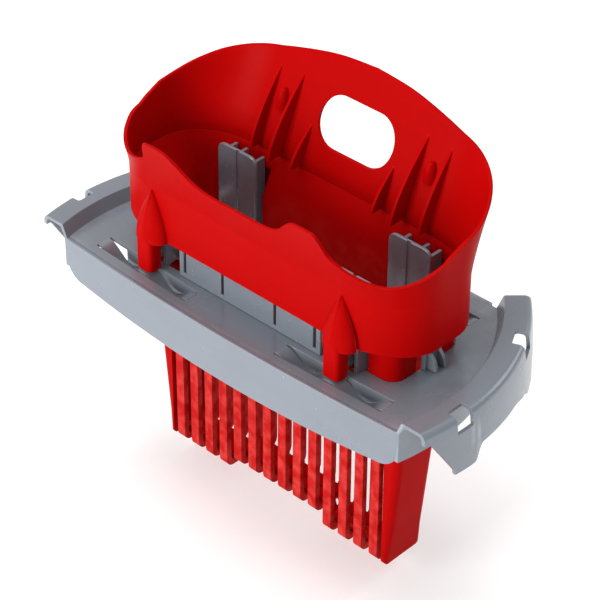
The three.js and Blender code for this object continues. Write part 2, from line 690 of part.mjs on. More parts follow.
/** One U-shaped rib: down the front, round under the bottom and up the rear. */
function basketRib(x) {
  const bottom = BASKET_BOTTOM + (Math.abs(x) < 32 ? BASKET_RAISED : 0);
  const top = BASKET_TOP - BAND_HEIGHT - GAP;
  const floor = bottom + RIB_DEPTH;
  const round = 7;
  const steps = 7;
  const outside = [];
  const inside = [];
  for (let i = 0; i <= steps; i += 1) {
    const z = THREE.MathUtils.lerp(top, bottom + round, (i / steps) ** 1.6);
    outside.push([basketHalfDepth(z), z]);
    inside.push([basketHalfDepth(z) - RIB_DEPTH, z]);
  }
  const low = outside[steps][0];
  for (const turn of [0.35, 0.8, 1.2, Math.PI / 2]) {
    outside.push([low - round * (1 - Math.cos(turn)), bottom + round * (1 - Math.sin(turn))]);
  }
  const inner = low - RIB_DEPTH;
  inside.push([inner, floor + 3], [inner - 0.9, floor + 0.9], [inner - 3, floor]);
  const half = [...inside.reverse(), ...outside];
  const other = half.map(([y, z]) => [-y, z]).reverse();
  return extrudeAcross(polygon([...half, ...other]), x - RIB_WIDTH / 2, x + RIB_WIDTH / 2);
}

addPiece('basket_band', basketBand(), redPlastic);
for (let i = 0; i < RIB_COUNT; i += 1) {
  const x = (i - (RIB_COUNT - 1) / 2) * RIB_PITCH;
  addPiece(`basket_rib_${String(i + 1).padStart(2, '0')}`, basketRib(x), redPlastic);
}

/** The perforated plate in the bottom of the basket, higher in the middle. */
function basketFloor() {
  const end = 84;
  const low = BASKET_BOTTOM + RIB_DEPTH + GAP;
  const high = low + BASKET_RAISED;
  const ramp = [36, 41];
  const thick = 1.8;
  const profile = [
    [-end, low], [-ramp[1], low], [-ramp[0], high], [ramp[0], high], [ramp[1], low], [end, low],
    [end, low + thick], [ramp[1] - 1, low + thick], [ramp[0] - 1, high + thick],
    [-ramp[0] + 1, high + thick], [-ramp[1] + 1, low + thick], [-end, low + thick],
  ];
  const halfWidth = 8.4;
  let plate = solid(extrudeBack(polygon(profile), -halfWidth, halfWidth));
  for (let gap = 0; gap < RIB_COUNT - 1; gap += 1) {
    const x = (gap - (RIB_COUNT - 2) / 2) * RIB_PITCH;
    for (const [y, point] of [[-4.4, 1.6], [0, -1.6], [4.4, 1.6]]) {
      const hole = polygon([[x - point, y - 1.5], [x + point, y], [x - point, y + 1.5]]);
      plate = plate.subtract(solid(extrudeUp(hole, low - 3, high + 6)));
    }
  }
  return plate;
}

addPiece('basket_floor', geometryOf(basketFloor()), redPlastic);

/** The plan of an end wall at a height: a straight side whose rounded returns reach the first slot. */
function endWallPlan(z, inset) {
  const cornerSteps = 6;
  const x = basketHalfLength(z) - inset;
  const y = basketHalfDepth(z) - inset;
  const r = Math.max(Math.min(5, basketHalfLength(z) - RETURN_X - 0.4) - inset, 0.1);
  const points = [[RETURN_X, -y]];
  for (let i = 0; i <= cornerSteps; i += 1) {
    const turn = ((i / cornerSteps) * Math.PI) / 2;
    points.push([x - r + r * Math.sin(turn), -y + r - r * Math.cos(turn)]);
  }
  return [...points, ...points.map(([px, py]) => [px, -py]).reverse()];
}

/** One end wall of the basket: a plate with rounded front and rear returns that narrows downwards. */
function basketEndWall() {
  const levels = 8;
  const top = BASKET_TOP - BAND_HEIGHT - GAP;
  const rings = [];
  for (let i = 0; i <= levels; i += 1) {
    const z = THREE.MathUtils.lerp(BASKET_BOTTOM + 0.5, top, i / levels);
    const plan = [...endWallPlan(z, 0), ...endWallPlan(z, WALL).reverse()];
    rings.push(plan.map(([x, y]) => [x, y, z]));
  }
  const count = rings[0].length;
  const columns = count / 2;
  const index = [];
  for (let i = 0; i < levels; i += 1) {
    for (let j = 0; j < count; j += 1) {
      const a = i * count + j;
      const b = i * count + ((j + 1) % count);
      index.push(a, b, a + count, b, b + count, a + count);
    }
  }
  const last = levels * count;
  for (let j = 0; j < columns - 1; j += 1) {
    const k = count - 1 - j;
    index.push(j, k, j + 1, j + 1, k, k - 1);
    index.push(last + j, last + j + 1, last + k, last + j + 1, last + k - 1, last + k);
  }
  return new wasm.Manifold(new wasm.Mesh({
    numProp: 3, vertProperties: new Float32Array(rings.flat(2)), triVerts: new Uint32Array(index),
  }));
}

const endWall = basketEndWall();
addPiece('basket_right_end', geometryOf(endWall), redPlastic);
addPiece('basket_left_end', geometryOf(mirrored(endWall, true, false)), redPlastic);

export default object;
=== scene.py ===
"""Bucket mop wringer insert: the finished look of a hooked grey tray and a sprung red press unit.

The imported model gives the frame. This script builds the detailed mouldings around it, dresses them in
procedural plastics, and sets the floor, the soft studio light and the camera. Sizes are in millimetres
inside the classes and become metres where a mesh is made.
"""

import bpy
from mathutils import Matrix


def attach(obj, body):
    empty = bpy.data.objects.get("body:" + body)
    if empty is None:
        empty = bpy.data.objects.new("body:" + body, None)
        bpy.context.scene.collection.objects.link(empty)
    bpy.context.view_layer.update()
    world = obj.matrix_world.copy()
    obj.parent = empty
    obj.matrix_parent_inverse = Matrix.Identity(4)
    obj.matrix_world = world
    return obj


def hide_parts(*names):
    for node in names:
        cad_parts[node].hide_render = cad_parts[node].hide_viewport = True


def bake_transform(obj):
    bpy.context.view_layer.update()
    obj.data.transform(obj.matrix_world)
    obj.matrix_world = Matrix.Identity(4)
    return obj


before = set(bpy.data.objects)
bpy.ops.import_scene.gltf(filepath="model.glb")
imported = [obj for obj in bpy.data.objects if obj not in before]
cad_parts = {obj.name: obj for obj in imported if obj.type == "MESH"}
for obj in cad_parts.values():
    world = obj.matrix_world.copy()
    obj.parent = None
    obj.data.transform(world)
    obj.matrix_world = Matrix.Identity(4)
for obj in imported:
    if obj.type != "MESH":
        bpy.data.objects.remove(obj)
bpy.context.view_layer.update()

import logging
import math
from dataclasses import dataclass
from enum import Enum
from typing import Callable, Iterable, Sequence

import bmesh
import bpy
from mathutils import Matrix, Vector

logging.basicConfig(level=logging.INFO, format="%(name)s: %(message)s")
LOG = logging.getLogger("wringer")

MM = 0.001
Point = tuple[float, float]
Point3 = tuple[float, float, float]


class Body(Enum):
    """The two rigid bodies of the model."""

    FRAME = "frame"
    PRESS = "press_unit"


class Side(Enum):
    """A side of the mirror plane, with the sign of its X."""

    LEFT = -1
    RIGHT = 1


class Place(Enum):
    """The long side of the opening, with the sign of its Y."""

    FRONT = -1
    REAR = 1


# --- Shader tools ---


class Net:
    """A material's node tree, with one method that makes any node."""

    def __init__(self, material: bpy.types.Material) -> None:
        """Clears the tree and adds the output.

        Args:
            material: the material whose nodes are built.
        """
        material.use_nodes = True
        self.tree = material.node_tree
        self.tree.nodes.clear()

    def node(self, kind: str, settings: dict | None = None, inputs: dict | None = None,
             output: str | int = 0) -> "Field":
        """Makes a node and returns one of its outputs.

        Args:
            kind: the node's type name, without its ShaderNode prefix.
            settings: attributes that are set before the sockets, such as an operation or a ramp's stops.
            inputs: values or fields for its sockets, by name or number.
            output: the socket that is returned.

        Returns:
            The output socket as a field.
        """
        made = self.tree.nodes.new("ShaderNode" + kind)
        for key, value in (settings or {}).items():
            if key == "stops":
                self._set_stops(made.color_ramp, value)
            else:
                setattr(made, key, value)
        for key, value in (inputs or {}).items():
            socket = made.inputs[key]
            if isinstance(value, Field):
                self.tree.links.new(value.socket, socket)
            else:
                socket.default_value = value
        return Field(self, made.outputs[output]) if made.outputs else Field(self, None)

    @staticmethod
    def _set_stops(ramp: bpy.types.ColorRamp, stops: Sequence[tuple[float, float]]) -> None:
        """Gives a ramp its grey stops, each a position and a brightness."""
        while len(ramp.elements) < len(stops):
            ramp.elements.new(0.5)
        for element, (position, level) in zip(ramp.elements, stops):
            element.position = position
            element.color = (level, level, level, 1.0)

    def coordinates(self) -> "Field":
        """The position in the object, in metres."""
        return self.node("TexCoord", output="Object")

    def noise(self, scale: float, stretch: Point3 = (1.0, 1.0, 1.0), detail: float = 3.0) -> "Field":
        """Fractal noise over the object's coordinates.

        Args:
            scale: how many features there are in a metre.
            stretch: a factor on each axis.
            detail: how many octaves there are.

        Returns:
            The noise, from 0 to 1.
        """
        place = self.node("Mapping", inputs={"Vector": self.coordinates(), "Scale": stretch})
        return self.node("TexNoise", inputs={"Vector": place, "Scale": scale, "Detail": detail})

    def ramp(self, value: "Field", *stops: tuple[float, float]) -> "Field":
        """A value through a ramp with the given stops."""
        return self.node("ValToRGB", {"stops": stops}, {0: value})

    def mix_colour(self, amount: "Field", first: Sequence[float] | "Field",
                   second: Sequence[float] | "Field") -> "Field":
        """Blends two colours by an amount from 0 to 1."""
        values = {0: amount, 6: self._rgba(first), 7: self._rgba(second)}
        return self.node("Mix", {"data_type": "RGBA"}, values, output=2)

    @staticmethod
    def _rgba(colour: Sequence[float] | "Field") -> "Sequence[float] | Field":
        """Adds the alpha to a plain colour."""
        return colour if isinstance(colour, Field) else (*colour, 1.0)


@dataclass
class Field:
    """A shader value: arithmetic on it adds Math nodes."""

    net: Net
    socket: bpy.types.NodeSocket | None

    def _math(self, operation: str, *values: "Field | float") -> "Field":
        """Adds one Math node on the given values."""
        return self.net.node("Math", {"operation": operation}, dict(enumerate(values)))

    def __add__(self, other: "Field | float") -> "Field":
        """self + other."""
        return self._math("ADD", self, other)

    __radd__ = __add__

    def __mul__(self, other: "Field | float") -> "Field":
        """self * other."""
        return self._math("MULTIPLY", self, other)

    __rmul__ = __mul__


@dataclass(frozen=True)
class Plastic:
    """A smooth moulded plastic with pigment clouding, fine scratches, a faint grain, and edges lightened by
    wear and a painted highlight.
    """

    name: str
    slot: str
    colour: Point3
    clouded: Point3
    pale_wear_and_highlight: Point3
    roughness: float
    metallic: float
    coat: float
    sparkle: float
    specular: float = 0.5

    def material(self) -> bpy.types.Material:
        """Builds the material once and returns it.

        Returns:
            The finished material.
        """
        found = bpy.data.materials.get(self.name)
        if found:
            return found
        made = bpy.data.materials.new(self.name)
        net = Net(made)
        shader = net.node("BsdfPrincipled", inputs={
            "Base Color": self._colour(net),
            "Roughness": self._roughness(net),
            "Metallic": self.metallic,
            "Normal": self._grain(net),
            "Coat Weight": self.coat,
            "Coat Roughness": 0.08,
            "Specular IOR Level": self.specular,
        })
        net.node("OutputMaterial", inputs={"Surface": shader})
        return made

    def _colour(self, net: Net) -> Field:
        """Pigment clouds, flow lines of the moulding, tiny flakes, and edges lightened in patches, partly
        as wear and partly as a painted highlight.
        """
        clouds = net.ramp(net.noise(14, detail=4), (0.35, 0.0), (0.7, 1.0))
        flow = net.ramp(net.noise(30, (0.35, 0.35, 3.0)), (0.48, 0.0), (0.62, 1.0))
        base = net.mix_colour(clouds * 0.7 + flow * 0.3, self.colour, self.clouded)
        flakes = net.ramp(net.noise(2600, detail=1), (0.62, 0.0), (0.7, 1.0)) * self.sparkle
        base = net.mix_colour(flakes, base, self.pale_wear_and_highlight)
        # Sharp edges and lips take the pale colour in patches: partly wear, and on the red mostly a painted
        # highlight along the lit lips.
        edge = net.ramp(net.node("NewGeometry", output="Pointiness"), (0.55, 0.0), (0.65, 1.0))
        patchy = net.ramp(net.noise(120), (0.4, 0.2), (0.65, 1.0))
        return net.mix_colour(edge * patchy * 0.5, base, self.pale_wear_and_highlight)

    def _roughness(self, net: Net) -> Field:
        """Handling marks and short hairline scratches in two directions."""
        smears = net.ramp(net.noise(22, detail=5), (0.35, 0.0), (0.75, 1.0)) * 0.09
        scratches = net.ramp(net.noise(260, (1.0, 0.05, 0.6), 1), (0.7, 0.0), (0.78, 1.0))
        crossed = net.ramp(net.noise(240, (0.06, 1.0, 0.5), 1), (0.7, 0.0), (0.78, 1.0))
        return smears + (scratches + crossed) * 0.05 + self.roughness

    def _grain(self, net: Net) -> Field:
        """The slight waviness of a moulded skin with a fine texture on it."""
        skin = net.noise(55, detail=2) * 0.8 + net.noise(900, detail=2) * 0.2
        return net.node("Bump", inputs={"Strength": 0.06, "Distance": 0.0006, "Height": skin})


# The third colour is the pale edge colour: on RED a bright pink that is a painted highlight along the lit
# lips as well as wear; on GREY the tone of worn edges and flakes.
RED = Plastic("red_gloss_plastic", "red_plastic", (0.39, 0.0012, 0.0012), (0.36, 0.0010, 0.0011),
              (0.72, 0.075, 0.065), roughness=0.34, metallic=0.0, coat=0.0, sparkle=0.0, specular=0.015)
GREY = Plastic("silver_grey_plastic", "grey_plastic", (0.21, 0.235, 0.27), (0.19, 0.214, 0.248),
               (0.44, 0.47, 0.50), roughness=0.22, metallic=0.3, coat=0.1, sparkle=0.04, specular=0.5)


# --- Mesh tools ---


class Moulder:
    """Makes meshes with bmesh operators and turns them into finished pieces."""

    @staticmethod
    def outline(points: Iterable[Point], axis: str, low: float, high: float) -> bmesh.types.BMesh:
        """Extrudes a closed outline along an axis.

        Args:
            points: the outline in the two other axes, in X, Y, Z order.
            axis: X, Y or Z.
            low: where the extrusion starts.
            high: where it ends.

        Returns:
            A closed solid.
        """
        places: dict[str, Callable[[float, float], Point3]] = {
            "X": lambda a, b: (low, a, b),
            "Y": lambda a, b: (a, low, b),
            "Z": lambda a, b: (a, b, low),
        }
        along = {"X": (1, 0, 0), "Y": (0, 1, 0), "Z": (0, 0, 1)}[axis]
        made = bmesh.new()
        corners = [made.verts.new(places[axis](a, b)) for a, b in points]
        face = made.faces.new(corners)
        grown = bmesh.ops.extrude_face_region(made, geom=[face])["geom"]
        top = [item for item in grown if isinstance(item, bmesh.types.BMVert)]
        bmesh.ops.translate(made, verts=top, vec=Vector(along) * (high - low))
        bmesh.ops.recalc_face_normals(made, faces=made.faces)
        return made

    @staticmethod
    def loft(rings: Sequence[Sequence[Point3]], cyclic: bool = False) -> bmesh.types.BMesh:
        """Extrudes a closed ring of points through further rings, and caps or joins the ends.

        Args:
            rings: rings of equally many points.
            cyclic: whether the last ring joins the first; otherwise both ends are capped.

        Returns:
            A closed solid.
        """
        made = bmesh.new()
        verts = [made.verts.new(place) for place in rings[0]]
        count = len(verts)
        loop = [made.edges.new((verts[i], verts[(i + 1) % count])) for i in range(count)]
        first = list(loop)
        if not cyclic:
            bmesh.ops.contextual_create(made, geom=loop)
        for ring in rings[1:]:
            grown = bmesh.ops.extrude_edge_only(made, edges=loop)["geom"]
            fresh = {item for item in grown if isinstance(item, bmesh.types.BMVert)}
            verts = Moulder._follow(verts, fresh)
            for vert, place in zip(verts, ring):
                vert.co = place
            loop = [made.edges.get((verts[i], verts[(i + 1) % count])) for i in range(count)]
        if cyclic:
            bmesh.ops.bridge_loops(made, edges=first + loop)
        else:
            bmesh.ops.contextual_create(made, geom=loop)
        bmesh.ops.recalc_face_normals(made, faces=made.faces)
        return made

    @staticmethod
    def _follow(verts: list[bmesh.types.BMVert], fresh: set) -> list[bmesh.types.BMVert]:
        """The new vertex that was extruded from each old one, in the same order."""
        return [next(e.other_vert(v) for e in v.link_edges if e.other_vert(v) in fresh) for v in verts]

    @staticmethod
    def block(low: Point3, high: Point3) -> bmesh.types.BMesh:
        """A box between two corners."""
        made = bmesh.new()
        bmesh.ops.create_cube(made, size=1.0)
        bmesh.ops.scale(made, verts=made.verts, vec=[b - a for a, b in zip(low, high)])
        bmesh.ops.translate(made, verts=made.verts, vec=[(a + b) / 2 for a, b in zip(low, high)])
        return made

    @staticmethod
    def copy_of(node: str) -> bmesh.types.BMesh:
        """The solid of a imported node, in millimetres, with its flat faces whole again."""
        made = bmesh.new()
        made.from_mesh(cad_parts[node].data)
        bmesh.ops.scale(made, verts=made.verts, vec=(1 / MM,) * 3)
        bmesh.ops.remove_doubles(made, verts=made.verts, dist=0.002)
        bmesh.ops.dissolve_limit(made, angle_limit=math.radians(0.6), verts=made.verts, edges=made.edges)
        return made

    @staticmethod
    def round_edges(made: bmesh.types.BMesh, width: float, segments: int = 2, angle: float = 35.0,
                    choose: Callable[[bmesh.types.BMEdge], bool] = lambda edge: True) -> None:
        """Bevels the sharp edges of a solid.

        Args:
            made: the solid.
            width: the bevel's width.
            segments: its segments.
            angle: the least angle between an edge's faces, in degrees.
            choose: a test that an edge has to pass.
        """
        least = math.radians(angle)
        sharp = [e for e in made.edges
                 if e.is_manifold and e.calc_face_angle(0.0) > least and choose(e)]
        bmesh.ops.bevel(made, geom=sharp, offset=width, affect="EDGES", segments=segments,
                        profile=0.5, material=-1, clamp_overlap=True)

    @staticmethod
    def mirror(made: bmesh.types.BMesh, side: Side, place: Place = Place.REAR) -> None:
        """Turns a solid made for the right or the rear to another side."""
        bmesh.ops.scale(made, verts=made.verts, vec=(side.value, place.value, 1))
        if side.value * place.value < 0:
            bmesh.ops.reverse_faces(made, faces=made.faces)

    @staticmethod
    def combine(base: bmesh.types.BMesh, parts: Sequence[bmesh.types.BMesh],
                operation: str) -> bmesh.types.BMesh:
        """Joins parts to a solid, or cuts them out of it.

        Args:
            base: the solid.
            parts: the other solids.
            operation: UNION, DIFFERENCE or INTERSECT.

        Returns:
            The result.
        """
        body = Moulder._loose("body", base)
        for part in parts:
            tool = Moulder._loose("tool", part)
            cut = body.modifiers.new("cut", "BOOLEAN")
            cut.operation = operation
            cut.solver = "EXACT"
            cut.object = tool
        graph = bpy.context.evaluated_depsgraph_get()
        mesh = bpy.data.meshes.new_from_object(body.evaluated_get(graph))
        result = bmesh.new()
        result.from_mesh(mesh)
        for used in [m.object for m in body.modifiers] + [body]:
            bpy.data.objects.remove(used)
        bpy.data.meshes.remove(mesh)
        bmesh.ops.remove_doubles(result, verts=result.verts, dist=0.003)
        bmesh.ops.dissolve_degenerate(result, edges=result.edges, dist=0.003)
        return result

    @staticmethod
    def _loose(name: str, made: bmesh.types.BMesh) -> bpy.types.Object:
        """An object for a modifier to work on, which frees its bmesh."""
        mesh = bpy.data.meshes.new(name)
        made.to_mesh(mesh)
        made.free()
        thing = bpy.data.objects.new(name, mesh)
        bpy.context.scene.collection.objects.link(thing)
        return thing

    @staticmethod
    def finish(name: str, made: bmesh.types.BMesh, finish: Plastic, body: Body | None,
               nodes: Sequence[str] = (), smooth: float = 40.0) -> bpy.types.Object:
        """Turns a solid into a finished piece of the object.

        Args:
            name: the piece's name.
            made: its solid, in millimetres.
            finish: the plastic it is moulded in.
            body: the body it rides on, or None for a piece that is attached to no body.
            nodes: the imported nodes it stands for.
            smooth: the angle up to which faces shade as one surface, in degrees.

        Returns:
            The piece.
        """
        bmesh.ops.scale(made, verts=made.verts, vec=(MM,) * 3)
        mesh = bpy.data.meshes.new(name)
        made.to_mesh(mesh)
        made.free()
        mesh.polygons.foreach_set("use_smooth", [True] * len(mesh.polygons))
        mesh.set_sharp_from_angle(angle=math.radians(smooth))
        mesh.materials.append(finish.material())
        piece = bpy.data.objects.new(name, mesh)
        bpy.context.scene.collection.objects.link(piece)
        even = piece.modifiers.new("even_shading", "WEIGHTED_NORMAL")
        even.keep_sharp = True
        if body:
            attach(piece, body.value)
        if nodes:
            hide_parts(*nodes)
        LOG.info("%s: %d faces", name, len(mesh.polygons))
        return piece

    @staticmethod
    def soften(node: str, width: float, finish: Plastic, body: Body, segments: int = 2,
               smooth: float = 40.0) -> None:
        """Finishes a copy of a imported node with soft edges.

        Args:
            node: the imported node.
            width: how far the edges are softened.
            finish: the plastic it is moulded in.
            body: the body it rides on.
            segments: how many steps a softened edge has.
            smooth: the angle up to which faces shade as one surface, in degrees.
        """
        made = Moulder.copy_of(node)
        Moulder.round_edges(made, width, segments, 50)
        Moulder.finish(f"{node}_moulding", made, finish, body, [node], smooth)


def arc(centre: Point, radius: float, start: float, end: float, steps: int) -> list[Point]:
    """Points of an arc, with angles in degrees."""
    turns = [math.radians(start + (end - start) * i / steps) for i in range(steps + 1)]
    return [(centre[0] + radius * math.cos(t), centre[1] + radius * math.sin(t)) for t in turns]


def lerp(a: float, b: float, t: float) -> float:
    """The value between a and b at t."""
    return a + (b - a) * t


def smoothstep(t: float) -> float:
    """A smooth rise from 0 to 1."""
    t = min(max(t, 0.0), 1.0)
    return t * t * (3 - 2 * t)


def without_repeats(points: Sequence[Point]) -> list[Point]:
    """The points of an outline, less each that repeats the one before it."""
    return [p for i, p in enumerate(points) if math.dist(p, points[i - 1]) > 1e-3]


# --- Tray ---


@dataclass
class Tray:
    """The grey tray: floor, aprons, rim hooks, fences, guides and leaf springs."""

    wall: float = 2.2
    floor_top: float = -6.2
    rim_centre_y: float = -26.0
    floor_radius: float = 133.3
    crest_inner: float = 137.2
    crest_outer: float = 150.2
    rear_y: float = 65.5
    front_y: float = -55.4
    front_bow: float = 4.6
    hook_angles: Point = (-14.0, 43.8)
    slot_wall_depth: float = 18.0
    slot_wall_gap: float = 14.0  # the wall of a left slot ends this far before the slot does
    rail_depth: float = 2.4
    rail_thick: float = 1.6
    apron_corner: float = 13.0
    flange_short: float = -24.6  # lower edge of a hook's outer flange between its tabs
    flange_tip: float = -34.9  # just under the tips of the tabs
    leaf_wave: float = 9.0
    leaf_thick: float = 1.3

    @property
    def floor_bottom(self) -> float:
        """Underside of the tray floor."""
        return self.floor_top - self.wall

    def build(self) -> None:
        """Makes every grey piece."""
        self.floor()
        self.front_apron()
        self.rear_apron()
        for side in Side:
            self.rim_hook(side)
            Moulder.soften(f"{side.name.lower()}_end_guide", 0.4, GREY, Body.FRAME)
            for place in Place:
                post = f"{place.name.lower()}_{side.name.lower()}_guide_post"
                Moulder.soften(post, 0.45, GREY, Body.FRAME)
                self.leaf_spring(side, place)
        for place in Place:
            Moulder.soften(f"{place.name.lower()}_fence", 0.4, GREY, Body.FRAME)

    def front_edge(self, x: float, corner_x: float = 130.2) -> float:
        """Y of the bowed front edge at an X."""
        return self.front_y - self.front_bow * (1 - (x / corner_x) ** 2)

    def floor(self) -> None:
        """The floor: a plate with the mop opening, the slots, and the walls and rails beside them."""
        radius = self.floor_radius
        corner_x = math.sqrt(radius ** 2 - (self.front_y - self.rim_centre_y) ** 2)
        front_angle = math.degrees(math.asin((self.front_y - self.rim_centre_y) / radius))
        rear_angle = math.degrees(math.asin((self.rear_y - self.rim_centre_y) / radius))
        steps = 40
        front = [(lerp(-corner_x, corner_x, i / steps), 0.0) for i in range(steps + 1)]
        edge = [(x, self.front_edge(x, corner_x)) for x, _ in front]
        right = arc((0, self.rim_centre_y), radius, front_angle, rear_angle, 30)
        left = arc((0, self.rim_centre_y), radius, 180 - rear_angle, 180 - front_angle, 30)
        plan = without_repeats([*edge, *right, *left])
        plate = Moulder.outline(plan, "Z", self.floor_bottom, self.floor_top)
        cutters = [Moulder.outline(self.opening(), "Z", -20, 5)]
        rails = []
        for side in Side:
            for place in Place:
                slot = self.slot(place)
                cutters.append(self.slot_cutter(slot, side))
                rails.extend(self.slot_rails(slot, side, -place.value))
        plate = Moulder.combine(plate, cutters, "DIFFERENCE")
        plate = Moulder.combine(plate, rails, "UNION")
        Moulder.round_edges(plate, 0.45, 2, 50, self._is_inner_edge)
        Moulder.finish("tray_floor_moulding", plate, GREY, Body.FRAME, ["tray_floor"])

    def _is_inner_edge(self, edge: bmesh.types.BMEdge) -> bool:
        """Whether an edge is at the top of an opening and away from the tray's rim."""
        middle = (edge.verts[0].co + edge.verts[1].co) / 2
        from_rim = math.hypot(middle.x, middle.y - self.rim_centre_y)
        inside = from_rim < self.floor_radius - 2 and self.front_y + 1 < middle.y < self.rear_y - 2
        return inside and middle.z > self.floor_top - 0.1

    @staticmethod
    def opening() -> list[Point]:
        """The stepped mop opening with round corners."""
        x, end_y, mid_x, mid_y, corner = 102.5, 28.6, 80.6, 34.7, 9.0
        quarter = [
            *arc((x - corner, end_y - corner), corner, 0, 90, 8),
            (mid_x + 1, end_y), *arc((mid_x - 1.5, mid_y - 1.5), 1.5, 0, 90, 3),
        ]
        upper = [*quarter, *[(-a, b) for a, b in reversed(quarter)]]
        return without_repeats([*upper, *[(-a, -b) for a, b in upper]])

    @staticmethod
    def slot(place: Place) -> dict[str, float]:
        """The ends, the middle line and the width of a spring slot on the right side."""
        if place is Place.FRONT:
            return {"x0": 35.3, "x1": 112.0, "y0": -47.4, "y1": -44.2, "width": 11.6}
        return {"x0": 19.5, "x1": 96.2, "y0": 46.0, "y1": 46.0, "width": 11.2}

    def slot_cutter(self, slot: dict[str, float], side: Side) -> bmesh.types.BMesh:
        """The block that cuts one slot."""
        half = slot["width"] / 2
        plan = [
            (slot["x0"], slot["y0"] - half), (slot["x1"], slot["y1"] - half),
            (slot["x1"], slot["y1"] + half), (slot["x0"], slot["y0"] + half),
        ]
        cutter = Moulder.outline(plan, "Z", self.floor_bottom - 5, self.floor_top + 5)
        Moulder.mirror(cutter, side)
        return cutter

    def slot_rails(self, slot: dict[str, float], side: Side, towards: int) -> list[bmesh.types.BMesh]:
        """The deep wall under the floor beside a slot, and a low rail on its other side.

        Args:
            slot: the slot's ends, middle line and width.
            side: the side of the tray.
            towards: the sign in Y that leads from the slot to the mop opening.

        Returns:
            The wall and the rail.
        """
        rails = []
        whole = slot["x1"] - slot["x0"]
        gap = self.slot_wall_gap if side is Side.LEFT else 0.0
        for edge, length, depth in ((towards, whole - gap, self.slot_wall_depth),
                                    (-towards, whole, self.rail_depth)):
            x1 = slot["x0"] + length
            y1 = lerp(slot["y0"], slot["y1"], length / whole)
            near, far = edge * slot["width"] / 2, edge * (slot["width"] / 2 + self.rail_thick)
            plan = [(slot["x0"], slot["y0"] + near), (x1, y1 + near), (x1, y1 + far),
                    (slot["x0"], slot["y0"] + far)]
            rail = Moulder.outline(plan, "Z", self.floor_bottom - depth, self.floor_bottom + 0.8)
            Moulder.mirror(rail, side)
            rails.append(rail)
        return rails

    def front_apron(self) -> None:
        """The bowed front skirt with round lower corners."""
        steps = 72
        end, side = 131.6, 130.6
        rings = []
        for i in range(steps + 1):
            t = 2 * i / steps - 1
            x = side * math.copysign(1 - (1 - abs(t)) ** 1.35, t)
            near_end = max(0.0, (abs(x) - (side - self.apron_corner)) / self.apron_corner)
            if near_end:
                bottom = -32.8 + 12.8 * (1 - math.sqrt(max(0.0, 1 - near_end ** 2)))
            else:
                bottom = -38.1 + 5.3 * (x / (side - 14)) ** 2
            rings.append(self._apron_ring(x, (end - side) * near_end, bottom))
        apron = Moulder.loft(rings)
        Moulder.round_edges(apron, 0.55, 2, 50)
        Moulder.finish("front_apron_moulding", apron, GREY, Body.FRAME, ["front_apron"])

    def _apron_ring(self, x: float, lean: float, bottom: float) -> list[Point3]:
        """One upright section of the front apron, from top to bottom and back."""
        rows = 5
        front = self.front_edge(x) - self.wall - 0.2
        rear = self.front_edge(x)
        ring = []
        for y, order in ((front, range(rows)), (rear, reversed(range(rows)))):
            for row in order:
                t = row / (rows - 1)
                shift = math.copysign(lean * (1 - t), x)
                ring.append((x + shift, y, lerp(self.floor_top, bottom, t)))
        return ring

    def rear_apron(self) -> None:
        """The straight rear skirt, a plate with round lower corners."""
        half, bottom, corner = 92.0, -28.0, 9.0
        face = [
            (-half, self.floor_top), *arc((-half + corner, bottom + corner), corner, 180, 270, 8),
            *arc((half - corner, bottom + corner), corner, 270, 360, 8), (half, self.floor_top),
        ]
        apron = Moulder.outline(face, "Y", self.rear_y - 0.1, self.rear_y + 0.3 + self.wall)
        Moulder.round_edges(apron, 0.6, 3, 50)
        Moulder.finish("rear_apron_moulding", apron, GREY, Body.FRAME, ["rear_apron"])

    def hook_section(self) -> list[Point]:
        """The arched section of a rim hook: radius from the rim centre, and height."""
        radius, wall, crest = self.floor_radius, self.wall, self.wall
        outer = self.crest_outer
        return [
            (radius, -26), (radius, self.floor_top), (radius + 0.5, self.floor_top + 0.5),
            (self.crest_inner - 0.7, crest - 1.2), (self.crest_inner - 0.2, crest - 0.3),
            (self.crest_inner + 0.9, crest),
            *arc((outer - 1.5, crest - 4.2), 4.2, 90, 8, 7),
            (outer + 3.4, -8), (outer + 5, -34.5), (outer + 2.8, -34.5), (outer + 1.2, -8),
            *arc((outer - 1.5, crest - 4.2), 2.0, 8, 90, 5),
            (self.crest_inner + 1.6, 0), (radius + wall, self.floor_top - 0.6), (radius + wall, -26),
        ]

    def rim_hook(self, side: Side) -> None:
        """A rim hook: the section turned along the rim, then cut to its tabs and windows."""
        steps = 64
        first, last = self.hook_angles
        rings = []
        for i in range(steps + 1):
            turn = math.radians(lerp(first, last, i / steps))
            rings.append([(r * math.cos(turn), self.rim_centre_y + r * math.sin(turn), z)
                          for r, z in self.hook_section()])
        hook = Moulder.loft(rings)
        cutters = [Moulder.block((80, -130, -80), (210, self.front_y - self.wall, 40))]
        short, tip = self.flange_short, self.flange_tip
        cutters.append(self._flange_cutter([
            (-7.0, tip + 1.5), (2.2, tip + 0.6), (4.6, short), (18.0, short - 0.5), (25.5, -30.0),
            (27.5, tip + 0.6), (32.5, tip + 0.6), (35.0, short), (48.0, short + 2),
        ], -60))
        slant = [(-70, -1), (-70, -60), (-37, -60), (-36.6, -31), (-53, -6)]
        cutters.append(Moulder.outline(slant, "X", 143, 180))
        for middle in (-0.8, 28.2):
            cutters.append(self._window(middle))
        hook = Moulder.combine(hook, cutters, "DIFFERENCE")
        Moulder.round_edges(hook, 0.5, 2, 50)
        Moulder.mirror(hook, side)
        name = side.name.lower()
        Moulder.finish(f"{name}_rim_hook_moulding", hook, GREY, Body.FRAME, [f"{name}_rim_hook"])

